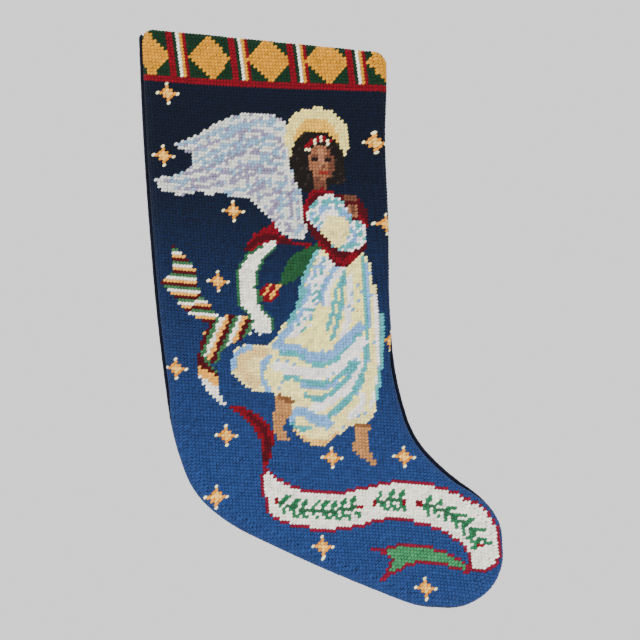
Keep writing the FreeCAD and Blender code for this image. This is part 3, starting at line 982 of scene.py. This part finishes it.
def stitch_pieces(grid):
    """Every stitch in its place and colour, as one mesh for each band of rows."""
    u, v, keep = worked_cells()
    colour = PALETTE[grid.ravel()[keep]]
    rng = np.random.default_rng(3)
    tone = 1 + 0.09 * rng.standard_normal(len(u))
    row_tone = 1 + 0.05 * np.sin(v * 2.1) * np.sin(v * 0.7 + 1)
    colour = colour * np.clip(tone * row_tone, 0.7, 1.3)[:, None]
    ground = grid.ravel()[keep] == NAMES.index("ground")
    # Painted light and shade: the ground yarn is darkened towards the band and brightest at the
    # foot.
    colour[ground] *= ground_painted_shade(v[ground])[:, None]
    centre = FRONT.place(*lattice(u, v))
    step = 0.5
    right = FRONT.place(*lattice(u + step, v)) - FRONT.place(*lattice(u - step, v))
    up = FRONT.place(*lattice(u, v - step)) - FRONT.place(*lattice(u, v + step))
    out = np.cross(right, up)
    out = out / np.linalg.norm(out, axis=1)[:, None]
    points, quads = stitch_shape()
    jitter = 1 + 0.06 * rng.standard_normal((len(u), 3))
    local = points[None, :, :] * jitter[:, None, :]
    shift = 0.035 * rng.standard_normal((len(u), 1, 2))
    a = local[:, :, 0] + shift[:, :, 0]
    b = local[:, :, 1] + shift[:, :, 1]
    h = local[:, :, 2] * STITCH_THICK
    spots = (centre[:, None, :] + a[:, :, None] * right[:, None, :]
             + b[:, :, None] * up[:, None, :] + h[:, :, None] * out[:, None, :])
    made = {}
    per = len(points)
    for name, low, high in WOOL_PIECES:
        mask = (v > low) & (v < high)
        faces = quads[None, :, :] + (np.arange(mask.sum()) * per)[:, None, None]
        made[name] = fast_mesh(name, spots[mask].reshape(-1, 3), faces.reshape(-1, 4), WOOL)
        colour_points(made[name], np.repeat(colour[mask], per, axis=0))
    return made


# ---- cloth panels ----------------------------------------------------------------------


def finer(line, spacing):
    """The same line with points no further apart than spacing."""
    out = []
    for a, b in zip(line, line[1:]):
        count = max(1, math.ceil(np.hypot(*(b - a)) / spacing))
        for k in range(count):
            out.append(a + (b - a) * k / count)
    out.append(line[-1])
    return np.array(out)


EDGE_SPACING = 3 * MM
LID_POINTS = 60


def mouth_line(x):
    """The height of the mouth's edge without its soft corners."""
    return MOUTH_LEFT_Z - MOUTH_DROP * x


def cut_cloth(name, shell, above, material, spacing, lift):
    """A panel cut as one flat piece that ends above the mouth line, laid over its shell.

    Gives the piece, its flat size and area, and the flat place of each of its points.
    """
    edge = finer(seam_curve(shell.inset - shell.extra), EDGE_SPACING)
    below = edge[edge[:, 1] < mouth_line(edge[:, 0]) + above]
    lid_x = np.linspace(below[0][0], below[-1][0], LID_POINTS)
    lid = [(x, mouth_line(x) + above) for x in lid_x]
    border = [tuple(p) for p in below] + lid[::-1]
    mesh = bmesh.new()
    corners = [mesh.verts.new((x, 0, z)) for x, z in border]
    mesh.faces.new(corners)
    pts = np.array(border)
    for axis in (0, 1):
        low_v, high_v = pts[:, axis].min(), pts[:, axis].max()
        count = int((high_v - low_v) / spacing)
        normal = (1, 0, 0) if axis == 0 else (0, 0, 1)
        for k in range(1, count + 1):
            at = low_v + (high_v - low_v) * k / (count + 1)
            spot = (at, 0, 0) if axis == 0 else (0, 0, at)
            geometry = mesh.verts[:] + mesh.edges[:] + mesh.faces[:]
            bmesh.ops.bisect_plane(mesh, geom=geometry, plane_co=spot, plane_no=normal)
    flat = np.array([v.co[:] for v in mesh.verts])
    area = sum(f.calc_area() for f in mesh.faces)
    placed = shell.place(flat[:, 0], flat[:, 2], lift)
    for vertex, spot in zip(mesh.verts, placed):
        vertex.co = spot
    bmesh.ops.recalc_face_normals(mesh, faces=mesh.faces[:])
    data = bpy.data.meshes.new(name)
    mesh.to_mesh(data)
    mesh.free()
    data.materials.append(material)
    data.shade_smooth()
    size = (float(np.ptp(pts[:, 0])), float(np.ptp(pts[:, 1])))
    return link_in(name, data), size, area, flat[:, [0, 2]]


def chart_place(x, z):
    """The chart point that lies at flat cloth position x, z, found step by step."""
    u = (x / MM - CHART_X) / ACROSS * 50
    v = (CHART_Z - z / MM) / DOWN * 90
    for _ in range(8):
        there_x, there_z = lattice(u, v)
        u = u + (x - there_x) / MM / ACROSS * 50
        v = v - (z - there_z) / MM / DOWN * 90
    return u, v


BARE_CANVAS = srgb(226, 214, 184)
SHADOW = 0.4


def tint_canvas(piece, grid, flat):
    """Worked canvas shows only as shadow of the wool; where it turns in it is bare."""
    u, v = chart_place(flat[:, 0], flat[:, 1])
    column = np.clip(np.floor(u - U_LOW).astype(int), 0, COLUMNS - 1)
    row = np.clip(np.floor(v - V_LOW).astype(int), 0, ROWS - 1)
    worked = PALETTE[grid[row, column]] * SHADOW
    ground = grid[row, column] == NAMES.index("ground")
    # Painted light and shade: the canvas under the ground darkens towards the band as the ground
    # yarn does.
    worked[ground] *= ground_painted_shade(v[ground])[:, None]
    bare = np.clip((fold_rise(flat[:, 0], flat[:, 1]) - WORKED_OVER) / MM, 0, 1)[:, None]
    colour_points(piece, worked * (1 - bare) + np.array(BARE_CANVAS) * bare)


TUBE_SPACING = 1.2 * MM
TUBE_SIDES = 12


def beside(run):
    """Unit vectors to the left of each run."""
    run = run / np.hypot(run[:, 0], run[:, 1])[:, None]
    return np.column_stack([-run[:, 1], run[:, 0]])


def seam_tube(name, inset, radius, end, material):
    """A round cover or cord along the seam, slightly gathered, its ends tucked in."""
    line = finer(seam_curve(inset), TUBE_SPACING)
    dense = line[line[:, 1] < mouth_line(line[:, 0]) - end]
    left = beside(np.gradient(dense, axis=0))
    sides = TUBE_SIDES
    length = np.arange(len(dense)) * TUBE_SPACING
    from_end = np.minimum(length, length[::-1])
    tuck = np.sqrt(np.clip(1 - (1 - np.clip(from_end / PIPING_END, 0, 1)) ** 2, 0.02, 1))
    gather = 1 + 0.02 * np.sin(length * 900) + 0.025 * np.sin(length * 370 + 1)
    r = radius * gather * tuck * 0.98
    points = []
    for k in range(sides):
        angle = 2 * math.pi * k / sides
        radial = left * (math.cos(angle) * r)[:, None]
        points.append(np.column_stack([dense[:, 0] + radial[:, 0],
                                       math.sin(angle) * r,
                                       dense[:, 1] + radial[:, 1]]))
    points = np.stack(points, 1)
    count = len(dense)
    quads = []
    for i in range(count - 1):
        for k in range(sides):
            j = (k + 1) % sides
            quads.append((i * sides + k, i * sides + j, (i + 1) * sides + j, (i + 1) * sides + k))
    for start in (0, (count - 1) * sides):
        for k in range(1, sides // 2):
            quads.append((start + k - 1, start + k, start + sides - k - 1, start + sides - k))
    return fast_mesh(name, points.reshape(-1, 3), np.array(quads), material)


# ---- the loop ----------------------------------------------------------------------------


def strap_mesh(name, path, width, thick, middle_y, material, closed):
    """A flat strap with rounded edges whose middle line runs along path in the XZ plane."""
    path = np.array(path)
    if closed:
        run = np.roll(path, -1, 0) - np.roll(path, 1, 0)
    else:
        run = np.gradient(path, axis=0)
    side = beside(run)
    half = width / 2
    t = thick / 2
    section = [(-half + 0.3 * t, -t), (0, -t * 0.9), (half - 0.3 * t, -t), (half, 0),
               (half - 0.3 * t, t), (0, t * 0.9), (-half + 0.3 * t, t), (-half, 0)]
    points = []
    for spot, way in zip(path, side):
        for y, h in section:
            points.append((spot[0] + way[0] * h, middle_y + y, spot[1] + way[1] * h))
    n = len(section)
    rows = len(path)
    quads = []
    for i in range(rows if closed else rows - 1):
        j = (i + 1) % rows
        for k in range(n):
            m = (k + 1) % n
            quads.append((i * n + k, i * n + m, j * n + m, j * n + k))
    if not closed:
        quads.append(tuple(range(n)))
        quads.append(tuple((rows - 1) * n + k for k in reversed(range(n))))
    return add_mesh(name, points, quads, material)


LOOP_THICK = 1.2 * MM
LOOP_SWAY = 4.5 * MM
LOOP_DROP = 42 * MM
LOOP_EYE = 5.1 * MM
LOOP_ROOT = 0.75 * MM


def loop_strap():
    """The strap's middle line: down one leg, round the eye, up the other and over the root."""
    low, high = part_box("hanging_loop")
    path = []
    for t in np.linspace(0, 1, 14, endpoint=False):
        path.append((-LOOP_ROOT + (LOOP_SWAY - LOOP_EYE + LOOP_ROOT) * t ** 1.6, -LOOP_DROP * t))
    for a in np.linspace(math.pi, 2 * math.pi, 18, endpoint=False):
        path.append((LOOP_SWAY + LOOP_EYE * math.cos(a), -LOOP_DROP + LOOP_EYE * math.sin(a)))
    for t in np.linspace(1, 0, 14, endpoint=False):
        path.append((LOOP_ROOT + (LOOP_SWAY + LOOP_EYE - LOOP_ROOT) * t ** 1.3, -LOOP_DROP * t))
    for a in np.linspace(0, math.pi, 6, endpoint=False):
        path.append((LOOP_ROOT * math.cos(a), LOOP_ROOT * 0.8 * math.sin(a)))
    return strap_mesh("loop_strap", path, high[1] - low[1], LOOP_THICK, (low[1] + high[1]) / 2,
                      VELVET, True)


def tail_strap():
    """The two tails, sewn down one on the other."""
    low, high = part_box("loop_tails")
    x = (low[0] + high[0]) / 2
    path = [(x, low[2] + (high[2] - low[2]) * t) for t in np.linspace(0.02, 0.98, 8)]
    return strap_mesh("loop_tail_strap", path, high[1] - low[1], high[0] - low[0] - 0.2 * MM,
                      (low[1] + high[1]) / 2, VELVET, False)


def settle(piece, slot, *nodes, body="stocking"):
    """Says what a piece moves with and the CAD nodes it stands for; the slot for its finish is not
    used.
    """
    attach(piece, body)
    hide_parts(*nodes)


TURN_UNDER = 4 * MM
VELVET_TURN_UNDER = 6 * MM
HEM_DROP = TURN_IN - 2.5 * MM


def build():
    grid = paint_all()
    stitches = stitch_pieces(grid)
    for name, piece in stitches.items():
        settle(piece, "wool", "wool_border" if "border" in name else "wool_picture")
    above = math.pi * FRONT.fold + TURN_UNDER
    canvas, size, area, flat = cut_cloth("canvas_front", FRONT, above, CANVAS, 2.5 * MM,
                                         -0.35 * MM)
    tint_canvas(canvas, grid, flat)
    settle(canvas, "canvas", "canvas_panel")
    above = math.pi * BACK.fold + VELVET_TURN_UNDER
    for name, shell, above, material, node, slot in (
            ("velvet_panel", BACK, above, VELVET, "velvet_back", "velvet"),
            ("lining_front_panel", FRONT_LINING, -HEM_DROP, LINING, "front_lining", "lining"),
            ("lining_back_panel", BACK_LINING, -HEM_DROP, LINING, "back_lining", "lining")):
        piece, size, area, flat = cut_cloth(name, shell, above, material, 4 * MM, 0.0)
        settle(piece, slot, node)
    for name, inset, radius, end, material, node, slot in (
            ("piping_cord", PIPING_R, 1.42 * MM, PIPING_END + 1.5 * MM, CORD, "piping_core",
             "piping_cord"),
            ("seam_sewing", SEAM_INSET, 0.3 * MM, PIPING_END + 3 * MM, THREAD, "seam_thread",
             "thread"),
            ("piping", PIPING_R, PIPING_R, PIPING_END, VELVET, "piping_cover", "velvet")):
        settle(seam_tube(name, inset, radius, end, material), slot, node)
    settle(loop_strap(), "velvet", "hanging_loop", body="loop")
    settle(tail_strap(), "velvet", "loop_tails")
    for node, material in (("front_interlining", FLEECE), ("back_interlining", FLEECE),
                           ("hem_stitches", THREAD), ("loop_tacks", THREAD)):
        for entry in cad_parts[node].material_slots:
            entry.material = material


# ---- stage, light and camera -----------------------------------------------------------


FLOOR_Z = -1.25
FLOOR_RADIUS = 5.0
FLOOR_SIDES = 96
MIDDLE = (0.129, 0, -0.226)
FOOT = (0.16, 0, -0.40)


def studio():
    paper, _, _, shader = node_material("studio_paper")
    shader.inputs["Base Color"].default_value = (0.86, 0.86, 0.86, 1)
    shader.inputs["Roughness"].default_value = 0.9
    rim = [(FLOOR_RADIUS * math.cos(a), FLOOR_RADIUS * math.sin(a), FLOOR_Z)
           for a in np.linspace(0, 2 * math.pi, FLOOR_SIDES, endpoint=False)]
    add_mesh("studio_floor", rim, [range(FLOOR_SIDES)], paper, False)
    for name, place, aim, size, power in (
            ("key", (-0.9, -1.3, 1.0), MIDDLE, (0.6, 0.6), 34),
            ("fill", (1.5, -1.6, -0.1), MIDDLE, (1.2, 1.2), 5),
            ("foot_light", (0.5, -0.8, -0.8), FOOT, (0.5, 0.3), 5),
            ("back_light", (0.4, 1.8, 0.8), MIDDLE, (1.2, 1.2), 24)):
        data = bpy.data.lights.new(name, "AREA")
        data.shape = "RECTANGLE"
        data.size, data.size_y = size
        data.energy = power
        lamp = link_in(name, data)
        lamp.location = place
        lamp.rotation_euler = (Vector(aim) - Vector(place)).to_track_quat("-Z", "Y").to_euler()
    world = bpy.data.worlds.new("world")
    world.use_nodes = True
    background = world.node_tree.nodes["Background"]
    background.inputs["Color"].default_value = (1, 1, 1, 1)
    background.inputs["Strength"].default_value = 1.25
    bpy.context.scene.world = world


VIEW_WIDTH = 0.5074
VIEW_DISTANCE = 1.8
VIEW_X, VIEW_Z = 0.129, -0.2263


def camera():
    data = bpy.data.cameras.new("camera")
    data.sensor_width = 36
    data.lens = data.sensor_width * VIEW_DISTANCE / VIEW_WIDTH
    eye = link_in("camera", data)
    eye.location = (VIEW_X, -VIEW_DISTANCE, VIEW_Z)
    eye.rotation_euler = (math.pi / 2, 0, 0)
    bpy.context.scene.camera = eye


camera()
studio()
build()
